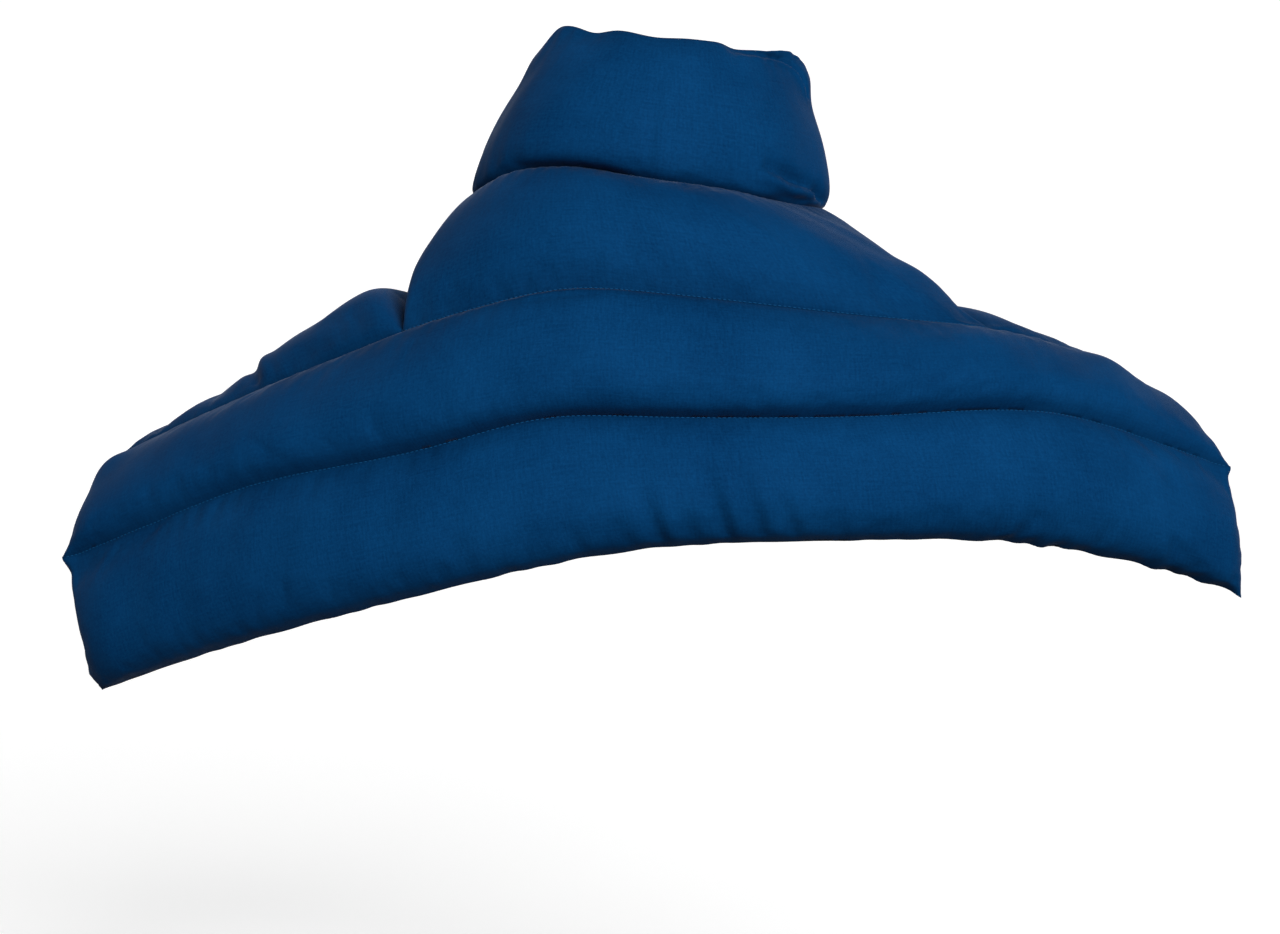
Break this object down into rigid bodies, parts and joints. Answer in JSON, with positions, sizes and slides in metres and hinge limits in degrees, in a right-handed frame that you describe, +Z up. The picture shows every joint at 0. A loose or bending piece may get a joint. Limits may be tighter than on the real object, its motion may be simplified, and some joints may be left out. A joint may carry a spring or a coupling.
{
  "type": "filled neck and shoulder warmer",
  "caption": "Filled cotton pad worn over the neck and shoulders, with sewn chambers, a stand-up collar and two front flaps.",
  "frame": {"origin": "on the axis of the wearer's neck, level with the crease between the collar and the yoke", "axes": "+Z up, +X towards the wearer's right shoulder, -Y towards the wearer's back"},
  "size_m": [0.5725, 0.2408, 0.3199],
  "materials": {
    "cotton_cover": "matte",
    "grain_fill": "matte",
    "seam_thread": "matte"
  },
  "bodies": {
    "back_panel": {"hem_seam": "seam_thread", "left_front_stitch_seam": "seam_thread", "left_shoulder_cover": "cotton_cover", "left_shoulder_fill": "grain_fill", "left_side_seam": "seam_thread", "left_yoke_end_seam": "seam_thread", "left_yoke_seam": "seam_thread", "lower_row_cover": "cotton_cover", "lower_row_fill": "grain_fill", "lower_stitch_seam": "seam_thread", "right_front_stitch_seam": "seam_thread", "right_shoulder_cover": "cotton_cover", "right_shoulder_fill": "grain_fill", "right_side_seam": "seam_thread", "right_yoke_end_seam": "seam_thread", "right_yoke_seam": "seam_thread", "upper_row_cover": "cotton_cover", "upper_row_fill": "grain_fill", "upper_stitch_seam": "seam_thread", "yoke_cover": "cotton_cover", "yoke_fill": "grain_fill"},
    "collar": {"collar_cover": "cotton_cover", "collar_crease_seam": "seam_thread", "collar_fill": "grain_fill", "collar_left_end_seam": "seam_thread", "collar_right_end_seam": "seam_thread", "collar_top_seam": "seam_thread"},
    "left_front": {"left_front_cover": "cotton_cover", "left_front_fill": "grain_fill", "left_front_hem_seam": "seam_thread", "left_front_neck_seam": "seam_thread", "left_front_outer_seam": "seam_thread"},
    "right_front": {"right_front_cover": "cotton_cover", "right_front_fill": "grain_fill", "right_front_hem_seam": "seam_thread", "right_front_neck_seam": "seam_thread", "right_front_outer_seam": "seam_thread"}
  },
  "joints": [
    {"name": "collar_fold", "type": "hinge", "parent": "back_panel", "child": "collar", "pos_m": [-0.005, -0.076, 0.01], "axis": [1, 0, 0], "range_deg": [0, 25]},
    {"name": "left_front_fold", "type": "hinge", "parent": "back_panel", "child": "left_front", "pos_m": [-0.185, 0.03005, -0.0997], "axis": [0.7621, -0.3445, 0.5481], "range_deg": [0, 60]},
    {"name": "right_front_fold", "type": "hinge", "parent": "back_panel", "child": "right_front", "pos_m": [0.1805, 0.0344, -0.0951], "axis": [0.788, 0.3429, -0.5113], "range_deg": [0, 60]}
  ]
}
